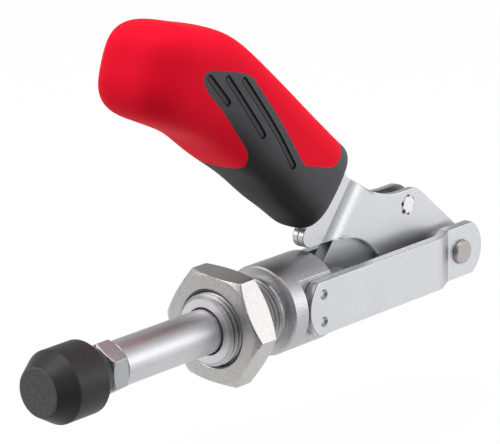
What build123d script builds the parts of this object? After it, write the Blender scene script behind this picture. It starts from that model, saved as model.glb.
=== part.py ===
"""Push-pull toggle clamp with a threaded mounting neck and a hand lever.

+X is the way the plunger pushes, +Z is up and +Y is the left side seen from behind.
The origin is on the plunger's axis, in the plane of the collar's front face.
The shape is the clamped one: plunger out, lever forward, linkage just past its dead centre.
"""

from build123d import *
import os
from math import acos, atan2, cos, degrees, pi, radians, sin, sqrt, tan

os.makedirs("parts", exist_ok=True)

# Fits
RUN = 0.05  # radial or side clearance where one body turns or slides on another
STOP_GAP = 0.1  # between the link and its stop pin in the clamped position

# Guide body: threaded neck, collar, and two flats behind it for the side plates
ROD_R = 6.2
NECK_R = 10.0
NECK_LENGTH = 22.7
NECK_CHAMFER = 1.1
SHOULDER = 2.8  # width of the collar's ring-shaped front face
COLLAR_T = 5.6
FLATS_LENGTH = 13.6
FLAT_Y = 9.3
BODY_EDGE = 0.5
BORE_R = ROD_R + RUN
COLLAR_R = NECK_R + SHOULDER
COLLAR_REAR = -COLLAR_T
BODY_REAR = COLLAR_REAR - FLATS_LENGTH

# Lock nut on the neck
NUT_FLATS = 30.0
NUT_T = 8.5
NUT_SET_BACK = 2.5  # from the neck's front end
NUT_TURN = -4.2
NUT_SINK = 1.1
NUT_EDGE = 0.2
NUT_CONE = tan(radians(30))
NUT_FRONT = NECK_LENGTH - NUT_SET_BACK
NUT_REAR = NUT_FRONT - NUT_T

# Link
LINK_T = 4.0
LINK_NOSE_R = 7.8
LINK_NOSE_GAP = 1.0  # between the nose and the body, clamped
LINK_TAIL_R = 6.6
LINK_ABOVE_STOP = 2.5
LINK_BELOW_STOP = 5.3
LINK_FRONT_ROUND = 7.0
LINK_REAR_ROUND = 3.0

# Linkage: three pins in the plane y = 0, lever pin at the rear
SPAN = 50.0  # lever pin to plunger pin, clamped
PAST_CENTRE = 1.5  # degrees that the lever arm lies below the line of the outer pins
LEVER_PIN_R = 3.5
LEVER_PIN_PROUD = 1.4
CRANK_PIN_R = 3.0
CRANK_HEAD_RIM = 1.4
CRANK_HEAD_T = 1.2
PLUNGER_PIN_R = 2.5
PIN_EDGE = 0.4
ARM = SPAN / 2 / cos(radians(PAST_CENTRE))
PLUNGER_PIN_X = BODY_REAR - LINK_NOSE_GAP - LINK_NOSE_R
LEVER_X = PLUNGER_PIN_X - SPAN
CRANK_X = LEVER_X + SPAN / 2
CRANK_Z = -ARM * sin(radians(PAST_CENTRE))

# Stop pin across both cheeks, above the crank pin and behind it
STOP_BACK = 7.0
STOP_Z = 17.3
STOP_R = 2.65
STOP_HEAD = 0.25
STOP_X = CRANK_X - STOP_BACK
LINK_TOP_Z = STOP_Z + LINK_ABOVE_STOP

# Lever cheeks, 2 mm sheet, face to face in the grip and spread around the link
SHEET_T = 2.0
CHEEK_BOSS_R = 7.6
CRANK_BOSS_R = 6.1
CHEEK_BEND_R = 2.0  # inside the bend behind the step
TANG_BEND_R = 0.5  # inside the bend ahead of the step
SPREAD = LINK_T / 2 + RUN
CHEEK_Y = SPREAD + SHEET_T

# Side plates, 3 mm strip with a step inward near the lever pin
PLATE_T = 3.0
PLATE_HALF = 7.65
PLATE_FRONT_GAP = 1.2  # behind the collar
PLATE_FRONT_BULGE = 3.6
PLATE_TAIL = 9.8  # behind the lever pin
PLATE_TAIL_BULGE = 4.3
PLATE_STEP = 3.2
PLATE_STEP_LENGTH = 6.8
PLATE_STEP_AHEAD = 6.1  # of the lever pin
PLATE_BEND_R = 2.0
PLATE_EDGE = 0.5
PLATE_BLANK_SPARE = 1.0
PLATE_FRONT_X = COLLAR_REAR - PLATE_FRONT_GAP
PLATE_REAR_X = LEVER_X - PLATE_TAIL
STEP_REAR_X = LEVER_X + PLATE_STEP_AHEAD
STEP_FRONT_X = STEP_REAR_X + PLATE_STEP_LENGTH
REAR_PLATE_INNER_Y = FLAT_Y - PLATE_STEP
REAR_PLATE_OUTER_Y = REAR_PLATE_INNER_Y + PLATE_T
SPACER_R = 6.6

# Rivets of the side plates
RIVET_BACK = 7.0  # behind the collar
RIVET_Z = 3.9
RIVET_R = 2.4
RIVET_DEPTH = 2.0
DIMPLE_R = 1.5
DIMPLE_DEPTH = 0.7
RIVET_X = COLLAR_REAR - RIVET_BACK

# Plunger and tip
ROD_FRONT = 58.9
FORK_DEPTH = 13.5
TIP_FLATS = 13.0
TIP_NUT_T = 6.0
SCREW_R = 4.0
SCREW_IN_ROD = 21.0
TAP_SPARE = 5.0
SCREW_HEAD_T = 5.3
CAP_GAP = 0.5
CAP_BOSS_R = 6.9
CAP_BOSS_LENGTH = 4.45
CAP_R = 10.0
CAP_BARREL_LENGTH = 10.55
CAP_NOSE_LENGTH = 5.6
CAP_FACE_R = 6.7
CAP_ROUND = 0.8
TIP_NUT_FRONT = ROD_FRONT + TIP_NUT_T
SCREW_REAR = ROD_FRONT - SCREW_IN_ROD
TAP_REAR = SCREW_REAR - TAP_SPARE
CAP_REAR = TIP_NUT_FRONT + CAP_GAP
CAP_SKIRT = CAP_REAR + CAP_BOSS_LENGTH
CAP_SHOULDER = CAP_SKIRT + CAP_BARREL_LENGTH
CAP_FRONT = CAP_SHOULDER + CAP_NOSE_LENGTH
SCREW_HEAD_REAR = CAP_SKIRT
SCREW_HEAD_FRONT = SCREW_HEAD_REAR + SCREW_HEAD_T

# The lever's own axes start at its pin: u runs LEAN degrees up from the plunger, v across
LEAN = 39.0
JOGGLE_GAP = 1.25  # between the link's front edge and the cheeks' inward step
JOGGLE_LENGTH = 2.75
TANG_TOP_V = -2.9
JOGGLE_REAR_U = SPAN * cos(radians(LEAN)) + LINK_NOSE_R + JOGGLE_GAP
JOGGLE_FRONT_U = JOGGLE_REAR_U + JOGGLE_LENGTH

# Cheek outline, in parts: x and z from the stop pin
HUMP = [(-6.5, 2.4), (-4.2, 3.9), (-1.5, 4.45)]
# Shares of the way from hump to tang, and from lobe to crank boss, in x and in z
SADDLE = [(0.31, 0.01), (0.49, 0.11), (0.66, 0.32), (0.84, 0.59)]
UNDERSIDE = [(0.15, -0.04), (0.31, -0.1), (0.48, -0.01), (0.63, 0.13), (0.76, 0.34), (0.89, 0.66)]
CRANK_BOSS_TOP = 5.9
# u and v
TANG = [(64.6, -2.9), (68.6, -4.9), (118.6, -7.1), (122.6, -9.1), (122.6, -12.1)]
TANG_UNDER = [(118.6, -14.1), (68.6, -18.1), (64.1, -20.1), (59.2, -22.7)]
LOBE = [(59.2, -22.7), (59.3, -24.3), (58.8, -25.6), (57.2, -26.7), (55.0, -26.7), (53.1, -25.5)]

# Grip
COVER_T = 2.0
GROOVE_DEPTH = 0.4
GROOVE_W = 1.5
SECTION_POWER = 3.2
SECTION_POINTS = 24
SECTION_LEAST = 0.6  # half size below which an inner section doesn't shrink
# u, centre v, half height, half width, slope of the section's plane
GRIP_SECTIONS = [
    (62.3, -11.4, 11.0, 7.8, -0.04),
    (63.1, -11.5, 13.0, 9.6, -0.04),
    (64.6, -11.4, 13.1, 10.9, -0.03),
    (68.9, -11.3, 12.9, 12.3, -0.02),
    (77.6, -11.3, 13.0, 13.2, 0.0),
    (89.9, -10.9, 12.9, 14.3, 0.0),
    (104.0, -11.0, 13.5, 15.5, 0.0),
    (116.2, -10.8, 13.9, 15.5, 0.04),
    (127.6, -12.1, 14.4, 15.2, 0.14),
    (136.6, -15.2, 13.3, 14.6, 0.24),
    (141.2, -16.8, 12.6, 13.8, 0.29),
    (145.9, -18.5, 10.7, 11.4, 0.33),
    (148.3, -19.3, 8.1, 8.8, 0.35),
    (149.5, -19.8, 3.0, 3.8, 0.36),
]
# Side outline of the soft cover: u, v
COVER_TIP = [(122.6, -5.7), (127.1, -7.5), (130.6, -9.2), (134.5, -11.2), (136.0, -12.9), (135.7, -14.9)]
COVER_FLANK = [(133.3, -16.2), (126.3, -17.5), (119.2, -18.9), (111.9, -20.3), (106.3, -21.6)]
COVER_HEEL = [(103.6, -22.8), (101.2, -23.9), (99.0, -25.7)]
COVER_UPPER = [(119.8, -5.1), (117.0, -5.8), (105.9, -8.5), (93.7, -11.5), (87.0, -13.2)]
COVER_CORNER = [(84.6, -13.5), (82.8, -13.0), (80.4, -11.95)]
COVER_REAR = [(75.4, -9.75), (73.4, -8.85), (71.9, -7.6), (70.8, -5.6), (70.2, -2.9), (69.9, -0.1)]
COVER_PAST = 25.0  # how far the outline runs past the grip where the cover wraps round it
# Groove ends: u, v at the lever's end and at the head's end
GROOVES = [
    ((124.3, -15.1), (134.0, -13.1)),
    ((106.7, -15.6), (128.0, -10.0)),
    ((88.9, -16.0), (122.2, -7.4)),
]

LEAN_COS = cos(radians(LEAN))
LEAN_SIN = sin(radians(LEAN))
ALONG = Vector(LEAN_COS, 0, LEAN_SIN)
ACROSS = Vector(-LEAN_SIN, 0, LEAN_COS)
LEVER_PIN = Vector(LEVER_X, 0, 0)
LEVER_PLANE = Plane(origin=LEVER_PIN, x_dir=(1, 0, 0), z_dir=(0, -1, 0))
GRIP_PLANE = Plane(origin=LEVER_PIN, x_dir=ALONG, z_dir=(0, -1, 0))
FOLD_PLANE = Plane(origin=LEVER_PIN, x_dir=ALONG, z_dir=ACROSS)
BIG = 250.0  # past every face of the clamp


def across(y):
    """The XZ plane through y; its sketches have x to the right and z up."""
    return Plane.XZ.offset(-y)


def along(x):
    """The plane square to the plunger at x; its sketches have y to the right and z up."""
    return Plane.YZ.offset(x)


def to_lever(u, v):
    """A point of the grip's axes as x and z from the lever pin."""
    return (u * LEAN_COS - v * LEAN_SIN, u * LEAN_SIN + v * LEAN_COS)


def nut_profile(rear, front, flats, edge):
    """Half profile that takes the corners off both ends of a hexagon; edge is inside the flats."""
    corner_r = flats / sqrt(3)
    face_r = flats / 2 - edge
    drop = (corner_r - face_r) * NUT_CONE
    with BuildLine() as profile:
        Polyline(
            (rear, 0),
            (rear, face_r),
            (rear + drop, corner_r),
            (front - drop, corner_r),
            (front, face_r),
            (front, 0),
            close=True,
        )
    return profile.line


# Guide body: neck, collar and two flats for the side plates, bored for the plunger
with BuildPart() as body:
    with BuildSketch(along(0)):
        Circle(COLLAR_R)
    extrude(amount=BODY_REAR)
    chamfer(body.edges().filter_by(GeomType.CIRCLE), BODY_EDGE)
    with BuildSketch(along(0)):
        Circle(NECK_R)
    extrude(amount=NECK_LENGTH)
    chamfer(body.edges().filter_by(GeomType.CIRCLE).sort_by(Axis.X)[-1], NECK_CHAMFER)
    for side in (1, -1):
        with BuildSketch(Plane.XY):
            with Locations((BODY_REAR, side * (FLAT_Y + COLLAR_R / 2))):
                Rectangle(2 * FLATS_LENGTH, COLLAR_R)
        extrude(amount=BIG, both=True, mode=Mode.SUBTRACT)
    with BuildSketch(along(BODY_REAR)):
        Circle(BORE_R)
    extrude(amount=BIG, mode=Mode.SUBTRACT)
    chamfer(body.edges().filter_by(GeomType.CIRCLE).group_by(SortBy.RADIUS)[0], BODY_EDGE)
    for side in (1, -1):
        with BuildSketch(across(side * FLAT_Y)):
            with Locations((RIVET_X, RIVET_Z), (RIVET_X, -RIVET_Z)):
                Circle(RIVET_R)
        extrude(amount=side * RIVET_DEPTH, mode=Mode.SUBTRACT)
body.part.label = "body"
export_step(body.part, "parts/body.step")

# Lock nut: hexagon with both ends chamfered and a countersunk thread
with BuildPart() as lock_nut:
    with BuildSketch(along(NUT_REAR)):
        RegularPolygon(NUT_FLATS / sqrt(3), 6, rotation=NUT_TURN)
    extrude(amount=NUT_T)
    with BuildSketch(Plane.XY):
        add(nut_profile(NUT_REAR, NUT_FRONT, NUT_FLATS, NUT_EDGE))
        make_face()
    revolve(axis=Axis.X, mode=Mode.INTERSECT)
    with BuildSketch(along(NUT_REAR)):
        Circle(NECK_R + RUN)
    extrude(amount=BIG, mode=Mode.SUBTRACT)
    chamfer(lock_nut.edges().filter_by(GeomType.CIRCLE).group_by(SortBy.RADIUS)[0], NUT_SINK)
lock_nut.part.label = "lock_nut"
export_step(lock_nut.part, "parts/lock_nut.step")


def side_outline():
    """Outline of a side plate in x and z, rounded at both ends."""
    front_corner = PLATE_FRONT_X - PLATE_FRONT_BULGE
    rear_corner = PLATE_REAR_X + PLATE_TAIL_BULGE
    with BuildLine() as outline:
        Line((front_corner, PLATE_HALF), (rear_corner, PLATE_HALF))
        ThreePointArc((rear_corner, PLATE_HALF), (PLATE_REAR_X, 0), (rear_corner, -PLATE_HALF))
        Line((rear_corner, -PLATE_HALF), (front_corner, -PLATE_HALF))
        ThreePointArc((front_corner, -PLATE_HALF), (PLATE_FRONT_X, 0), (front_corner, PLATE_HALF))
    return outline.line


def strip_points(side, y):
    """Path of a side plate's face from front to rear, seen from above."""
    return [
        (PLATE_FRONT_X + PLATE_BLANK_SPARE, side * y),
        (STEP_FRONT_X, side * y),
        (STEP_REAR_X, side * (y - PLATE_STEP)),
        (PLATE_REAR_X - PLATE_BLANK_SPARE, side * (y - PLATE_STEP)),
    ]


for side, hand in ((1, "left"), (-1, "right")):
    with BuildPart() as side_plate:
        with BuildSketch(Plane.XY):
            with BuildLine():
                Polyline(
                    *strip_points(side, FLAT_Y + PLATE_T),
                    *reversed(strip_points(side, FLAT_Y)),
                    close=True,
                )
            make_face()
        extrude(amount=PLATE_HALF * 2, both=True)
        bends = side_plate.edges().filter_by(Axis.Z)
        bends = bends.filter_by_position(
            Axis.X, STEP_REAR_X - PLATE_BLANK_SPARE, STEP_FRONT_X + PLATE_BLANK_SPARE
        )
        fillet(bends, PLATE_BEND_R)
        with BuildSketch(across(0)):
            add(side_outline())
            make_face()
        extrude(amount=BIG, both=True, mode=Mode.INTERSECT)
        with BuildSketch(across(side * FLAT_Y)):
            with Locations((RIVET_X, RIVET_Z), (RIVET_X, -RIVET_Z)):
                Circle(RIVET_R)
        extrude(amount=-side * PLATE_T, mode=Mode.SUBTRACT)
        with BuildSketch(across(side * REAR_PLATE_INNER_Y)):
            with Locations((LEVER_X, 0)):
                Circle(LEVER_PIN_R)
        extrude(amount=-side * PLATE_T, mode=Mode.SUBTRACT)
        outer_front = side_plate.faces().filter_by(Axis.Y).sort_by(Axis.Y)[-1 if side > 0 else 0]
        fillet(outer_front.outer_wire().edges().sort_by(Axis.X)[-1], PLATE_EDGE)
    side_plate.part.label = f"side_plate_{hand}"
    export_step(side_plate.part, f"parts/side_plate_{hand}.step")

    # Rivets: pressed into the body's flat, spread flush in the plate and dimpled
    with BuildPart() as plate_rivets:
        with BuildSketch(across(side * (FLAT_Y - RIVET_DEPTH))):
            with Locations((RIVET_X, RIVET_Z), (RIVET_X, -RIVET_Z)):
                Circle(RIVET_R)
        extrude(amount=-side * (RIVET_DEPTH + PLATE_T))
        for z in (RIVET_Z, -RIVET_Z):
            with BuildSketch(Plane.XY.offset(z)):
                with BuildLine():
                    outer = side * (FLAT_Y + PLATE_T)
                    floor = side * (FLAT_Y + PLATE_T - DIMPLE_DEPTH)
                    Polyline(
                        (RIVET_X, outer),
                        (RIVET_X + DIMPLE_R, outer),
                        (RIVET_X + DIMPLE_R / 2, floor),
                        (RIVET_X, floor),
                        close=True,
                    )
                make_face()
            revolve(axis=Axis((RIVET_X, 0, z), (0, 1, 0)), mode=Mode.SUBTRACT)
    plate_rivets.part.label = f"plate_rivets_{hand}"
    export_step(plate_rivets.part, f"parts/plate_rivets_{hand}.step")

    # Spacer washer on the lever pin, between cheek and plate
    with BuildPart() as spacer:
        with BuildSketch(across(side * (CHEEK_Y + RUN))):
            with Locations((LEVER_X, 0)):
                Circle(SPACER_R)
                Circle(LEVER_PIN_R, mode=Mode.SUBTRACT)
        extrude(amount=-side * (REAR_PLATE_INNER_Y - CHEEK_Y - RUN))
    spacer.part.label = f"spacer_{hand}"
    export_step(spacer.part, f"parts/spacer_{hand}.step")

# Lever pin through both plates and both cheeks
with BuildPart() as lever_pin:
    with BuildSketch(LEVER_PLANE):
        Circle(LEVER_PIN_R)
    extrude(amount=REAR_PLATE_OUTER_Y + LEVER_PIN_PROUD, both=True)
    chamfer(lever_pin.edges().filter_by(GeomType.CIRCLE), PIN_EDGE)
lever_pin.part.label = "lever_pin"
export_step(lever_pin.part, "parts/lever_pin.step")


def part_way(start, end, shares):
    """Points at shares of the way from start to end."""
    return [(start[0] + (end[0] - start[0]) * x, start[1] + (end[1] - start[1]) * z) for x, z in shares]


def cheek_outline():
    """Outline of a lever cheek from its pin: boss, hump, tang in the grip, lobe, underside."""
    hump = [(STOP_X - LEVER_X + x, STOP_Z + z) for x, z in HUMP]
    reach = sqrt(hump[0][0] ** 2 + hump[0][1] ** 2)
    swing = atan2(hump[0][1], hump[0][0]) + acos(CHEEK_BOSS_R / reach)
    boss_top = (CHEEK_BOSS_R * cos(swing), CHEEK_BOSS_R * sin(swing))
    tang_rear = to_lever(JOGGLE_REAR_U, TANG_TOP_V)
    tang = [to_lever(u, v) for u, v in TANG + TANG_UNDER]
    lobe = [to_lever(u, v) for u, v in LOBE]
    crank_x = CRANK_X - LEVER_X
    crank_side = crank_x + CRANK_BOSS_R
    crank_top = (crank_side, CRANK_BOSS_TOP)
    crank_low = CRANK_Z - CRANK_BOSS_R
    slant = CRANK_BOSS_R * sqrt(0.5)
    with BuildLine() as outline:
        Line(boss_top, hump[0])
        ThreePointArc(*hump)
        saddle = part_way(hump[-1], tang_rear, SADDLE)
        Spline([hump[-1], *saddle, tang_rear], tangents=[(1, 0), (LEAN_COS, LEAN_SIN)])
        Polyline(tang_rear, *tang)
        Spline(lobe)
        Spline([lobe[-1], *part_way(lobe[-1], crank_top, UNDERSIDE), crank_top])
        Line(crank_top, (crank_side, CRANK_Z))
        ThreePointArc((crank_side, CRANK_Z), (crank_x + slant, CRANK_Z - slant), (crank_x, crank_low))
        Line((crank_x, crank_low), (0, -CHEEK_BOSS_R))
        ThreePointArc((0, -CHEEK_BOSS_R), (-CHEEK_BOSS_R, 0), boss_top)
    return outline.line


# Lever cheeks: a folded strip, flat in the grip, stepped outward behind it, cut to the outline
inner_bend_shift = SHEET_T * (sqrt(JOGGLE_LENGTH**2 + SPREAD**2) - JOGGLE_LENGTH) / SPREAD
joggle_bends = [
    (JOGGLE_FRONT_U, TANG_BEND_R),
    (JOGGLE_FRONT_U - inner_bend_shift, TANG_BEND_R + SHEET_T),
    (JOGGLE_REAR_U, CHEEK_BEND_R + SHEET_T),
    (JOGGLE_REAR_U - inner_bend_shift, CHEEK_BEND_R),
]
for side, hand in ((1, "left"), (-1, "right")):
    with BuildPart() as cheek:
        with BuildSketch(FOLD_PLANE) as fold:
            with BuildLine():
                Polyline(
                    (BIG, 0),
                    (BIG, -side * SHEET_T),
                    (JOGGLE_FRONT_U, -side * SHEET_T),
                    (JOGGLE_REAR_U, -side * CHEEK_Y),
                    (-BIG, -side * CHEEK_Y),
                    (-BIG, -side * SPREAD),
                    (JOGGLE_REAR_U - inner_bend_shift, -side * SPREAD),
                    (JOGGLE_FRONT_U - inner_bend_shift, 0),
                    close=True,
                )
            make_face()
            for u, radius in joggle_bends:
                fillet(fold.vertices().filter_by_position(Axis.X, u - RUN, u + RUN), radius)
        extrude(amount=BIG, both=True)
        with BuildSketch(LEVER_PLANE):
            add(cheek_outline())
            make_face()
        extrude(amount=BIG, both=True, mode=Mode.INTERSECT)
        with BuildSketch(across(0)):
            with Locations((LEVER_X, 0)):
                Circle(LEVER_PIN_R + RUN)
            with Locations((CRANK_X, CRANK_Z)):
                Circle(CRANK_PIN_R)
            with Locations((STOP_X, STOP_Z)):
                Circle(STOP_R)
        extrude(amount=BIG, both=True, mode=Mode.SUBTRACT)
    cheek.part.label = f"lever_cheek_{hand}"
    export_step(cheek.part, f"parts/lever_cheek_{hand}.step")

# Stop pin, spread at both ends in the cheeks
with BuildPart() as stop_pin:
    with BuildSketch(across(0)):
        with Locations((STOP_X, STOP_Z)):
            Circle(STOP_R)
    extrude(amount=CHEEK_Y + STOP_HEAD, both=True)
    chamfer(stop_pin.edges().filter_by(GeomType.CIRCLE), STOP_HEAD)
stop_pin.part.label = "stop_pin"
export_step(stop_pin.part, "parts/stop_pin.step")

# Crank pin with a flat head outside each cheek
with BuildPart() as crank_pin:
    with BuildSketch(across(0)):
        with Locations((CRANK_X, CRANK_Z)):
            Circle(CRANK_PIN_R)
    extrude(amount=CHEEK_Y, both=True)
    for side in (1, -1):
        with BuildSketch(across(side * CHEEK_Y)):
            with Locations((CRANK_X, CRANK_Z)):
                Circle(CRANK_PIN_R + CRANK_HEAD_RIM)
        extrude(amount=-side * CRANK_HEAD_T)
crank_pin.part.label = "crank_pin"
export_step(crank_pin.part, "parts/crank_pin.step")

# Link: nose on the plunger pin, hump that meets the stop pin, tail on the crank pin
nose_top = (PLUNGER_PIN_X + LINK_NOSE_R * LEAN_COS, LINK_NOSE_R * LEAN_SIN)
hump_corner_x = nose_top[0] - (LINK_TOP_Z - nose_top[1]) * LEAN_SIN / LEAN_COS
stop_face_x = STOP_X + STOP_R + STOP_GAP
heel = (stop_face_x, STOP_Z - LINK_BELOW_STOP)
tail_slant = LINK_TAIL_R * sqrt(0.5)
with BuildPart() as link:
    with BuildSketch(across(0)) as link_side:
        with BuildLine():
            Polyline(nose_top, (hump_corner_x, LINK_TOP_Z), (stop_face_x, LINK_TOP_Z), heel)
            Line(heel, (CRANK_X - LINK_TAIL_R, CRANK_Z))
            ThreePointArc(
                (CRANK_X - LINK_TAIL_R, CRANK_Z),
                (CRANK_X - tail_slant, CRANK_Z - tail_slant),
                (CRANK_X, CRANK_Z - LINK_TAIL_R),
            )
            Line((CRANK_X, CRANK_Z - LINK_TAIL_R), (PLUNGER_PIN_X, -LINK_NOSE_R))
            ThreePointArc((PLUNGER_PIN_X, -LINK_NOSE_R), (PLUNGER_PIN_X + LINK_NOSE_R, 0), nose_top)
        make_face()
        fillet(link_side.vertices().group_by(Axis.Y)[-1].sort_by(Axis.X)[-1], LINK_FRONT_ROUND)
        fillet(link_side.vertices().group_by(Axis.Y)[-1].sort_by(Axis.X)[0], LINK_REAR_ROUND)
        with Locations((PLUNGER_PIN_X, 0)):
            Circle(PLUNGER_PIN_R + RUN, mode=Mode.SUBTRACT)
        with Locations((CRANK_X, CRANK_Z)):
            Circle(CRANK_PIN_R + RUN, mode=Mode.SUBTRACT)
    extrude(amount=LINK_T / 2, both=True)
link.part.label = "link"
export_step(link.part, "parts/link.step")

# Plunger: rod, forked behind for the link and tapped in front for the pressure screw
with BuildPart() as plunger:
    with BuildSketch(along(PLUNGER_PIN_X - ROD_R)):
        Circle(ROD_R)
    extrude(amount=ROD_FRONT - PLUNGER_PIN_X + ROD_R)
    chamfer(plunger.edges().filter_by(GeomType.CIRCLE).sort_by(Axis.X)[-1], BODY_EDGE)
    with BuildSketch(across(0)):
        with Locations((PLUNGER_PIN_X, 0)):
            Circle(ROD_R)
        with Locations((PLUNGER_PIN_X + BIG / 2, 0)):
            Rectangle(BIG, 4 * ROD_R)
    extrude(amount=BIG, both=True, mode=Mode.INTERSECT)
    with BuildSketch(Plane.XY):
        with Locations((PLUNGER_PIN_X + FORK_DEPTH - BIG / 2, 0)):
            Rectangle(BIG, LINK_T + 2 * RUN)
    extrude(amount=BIG, both=True, mode=Mode.SUBTRACT)
    with BuildSketch(across(0)):
        with Locations((PLUNGER_PIN_X, 0)):
            Circle(PLUNGER_PIN_R)
    extrude(amount=BIG, both=True, mode=Mode.SUBTRACT)
    with BuildSketch(along(TAP_REAR)):
        Circle(SCREW_R + RUN)
    extrude(amount=BIG, mode=Mode.SUBTRACT)
plunger.part.label = "plunger"
export_step(plunger.part, "parts/plunger.step")

# Plunger pin, pressed in the fork, its ends inside the rod's round
with BuildPart() as plunger_pin:
    with BuildSketch(across(0)):
        with Locations((PLUNGER_PIN_X, 0)):
            Circle(PLUNGER_PIN_R)
    extrude(amount=sqrt(ROD_R**2 - PLUNGER_PIN_R**2) - RUN, both=True)
    chamfer(plunger_pin.edges().filter_by(GeomType.CIRCLE), PIN_EDGE)
plunger_pin.part.label = "plunger_pin"
export_step(plunger_pin.part, "parts/plunger_pin.step")

# Tip nut that locks the pressure screw against the rod
with BuildPart() as tip_nut:
    with BuildSketch(along(ROD_FRONT)):
        RegularPolygon(TIP_FLATS / sqrt(3), 6, rotation=30)
    extrude(amount=TIP_NUT_T)
    with BuildSketch(Plane.XY):
        add(nut_profile(ROD_FRONT, TIP_NUT_FRONT, TIP_FLATS, PIN_EDGE))
        make_face()
    revolve(axis=Axis.X, mode=Mode.INTERSECT)
    with BuildSketch(along(ROD_FRONT)):
        Circle(SCREW_R + RUN)
    extrude(amount=BIG, mode=Mode.SUBTRACT)
tip_nut.part.label = "tip_nut"
export_step(tip_nut.part, "parts/tip_nut.step")

# Pressure screw: shank in the rod, hexagonal head inside the cap
with BuildPart() as tip_screw:
    with BuildSketch(along(SCREW_REAR)):
        Circle(SCREW_R)
    extrude(amount=SCREW_HEAD_FRONT - SCREW_REAR)
    chamfer(tip_screw.edges().filter_by(GeomType.CIRCLE).sort_by(Axis.X)[0], BODY_EDGE)
    with BuildSketch(along(SCREW_HEAD_REAR)):
        RegularPolygon(TIP_FLATS / sqrt(3), 6, rotation=30)
    extrude(amount=SCREW_HEAD_T)
tip_screw.part.label = "tip_screw"
export_step(tip_screw.part, "parts/tip_screw.step")

# Rubber cap over the screw's head
with BuildPart() as rubber_cap:
    with BuildSketch(Plane.XY):
        with BuildLine():
            Polyline(
                (CAP_REAR, 0),
                (CAP_REAR, CAP_BOSS_R),
                (CAP_SKIRT, CAP_R),
                (CAP_SHOULDER, CAP_R),
                (CAP_FRONT, CAP_FACE_R),
                (CAP_FRONT, 0),
                close=True,
            )
        make_face()
    revolve(axis=Axis.X)
    fillet(rubber_cap.edges().filter_by(GeomType.CIRCLE).sort_by(Axis.X)[1:], CAP_ROUND)
    with BuildSketch(along(CAP_REAR)):
        Circle(SCREW_R)
    extrude(amount=SCREW_HEAD_FRONT - CAP_REAR, mode=Mode.SUBTRACT)
    with BuildSketch(along(SCREW_HEAD_REAR)):
        RegularPolygon(TIP_FLATS / sqrt(3), 6, rotation=30)
    extrude(amount=SCREW_HEAD_T, mode=Mode.SUBTRACT)
rubber_cap.part.label = "rubber_cap"
export_step(rubber_cap.part, "parts/rubber_cap.step")


def rounded_section(half_width, half_height):
    """Points round a soft-cornered section, the same count at every station."""
    points = []
    for i in range(SECTION_POINTS):
        turn = 2 * pi * (i + 0.5) / SECTION_POINTS
        c, s = cos(turn), sin(turn)
        x = half_width * abs(c) ** (2 / SECTION_POWER) * (1 if c > 0 else -1)
        y = half_height * abs(s) ** (2 / SECTION_POWER) * (1 if s > 0 else -1)
        points.append((x, y))
    return points


def grip_solid(inset):
    """The grip's outer form, drawn in by inset on every side."""
    first, last = GRIP_SECTIONS[0][0], GRIP_SECTIONS[-1][0]
    shrink = (last - first - 2 * inset) / (last - first)
    with BuildPart() as form:
        for u, v, half_height, half_width, slope in GRIP_SECTIONS:
            u_in = first + inset + (u - first) * shrink
            centre = LEVER_PIN + ALONG * u_in + ACROSS * v
            wide = max(half_width - inset, SECTION_LEAST)
            high = max(half_height - inset, SECTION_LEAST) * sqrt(1 + slope**2)
            with BuildSketch(Plane(origin=centre, x_dir=(0, 1, 0), z_dir=ALONG - ACROSS * slope)):
                with BuildLine():
                    Spline(rounded_section(wide, high), periodic=True)
                make_face()
        loft()
    return form.part


def cover_outline():
    """Side outline of the soft cover, run past the grip where it wraps round."""
    heel_u, heel_v = COVER_HEEL[-1]
    rear_u, rear_v = COVER_REAR[-1]
    low = heel_v - COVER_PAST
    high = rear_v + COVER_PAST
    back = GRIP_SECTIONS[0][0] - COVER_PAST
    with BuildLine() as outline:
        Spline(COVER_UPPER[0], *COVER_TIP)
        Spline(COVER_TIP[-1], *COVER_FLANK, COVER_HEEL[0])
        Spline(COVER_HEEL)
        Polyline((heel_u, heel_v), (heel_u, low), (back, low), (back, high), (rear_u, high), (rear_u, rear_v))
        Spline(*reversed(COVER_REAR))
        Line(COVER_REAR[0], COVER_CORNER[-1])
        Spline(*reversed(COVER_UPPER + COVER_CORNER))
    return outline.line


outer_form = grip_solid(0)
core_form = grip_solid(COVER_T)

# The room that both tangs take in the grip
with BuildPart() as tang_room:
    with BuildSketch(LEVER_PLANE):
        add(cheek_outline())
        make_face()
    extrude(amount=SHEET_T, both=True)

# Finger grooves, cut to an even depth below the grip's surface
with BuildPart() as groove_cuts:
    with BuildSketch(GRIP_PLANE):
        for (u0, v0), (u1, v1) in GROOVES:
            with Locations(((u0 + u1) / 2, (v0 + v1) / 2)):
                length = sqrt((u1 - u0) ** 2 + (v1 - v0) ** 2)
                SlotCenterToCenter(length, GROOVE_W, rotation=degrees(atan2(v1 - v0, u1 - u0)))
    extrude(amount=BIG / 2, both=True)
    add(grip_solid(GROOVE_DEPTH), mode=Mode.SUBTRACT)

# Soft cover: a skin round the lever's end, along the underside and up both flanks
with BuildPart() as cover_blank:
    add(outer_form)
    with BuildSketch(GRIP_PLANE):
        add(cover_outline())
        make_face()
    extrude(amount=BIG, both=True, mode=Mode.INTERSECT)
    add(core_form, mode=Mode.SUBTRACT)
with BuildPart() as grip_cover:
    add(cover_blank.part)
    add(tang_room.part, mode=Mode.SUBTRACT)
    add(groove_cuts.part, mode=Mode.SUBTRACT)
grip_cover.part.label = "grip_cover"
export_step(grip_cover.part, "parts/grip_cover.step")

# Hard core: the rest of the grip, moulded round the tangs
with BuildPart() as grip_core:
    add(outer_form)
    add(cover_blank.part, mode=Mode.SUBTRACT)
    add(tang_room.part, mode=Mode.SUBTRACT)
grip_core.part.label = "grip_core"
export_step(grip_core.part, "parts/grip_core.step")
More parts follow.
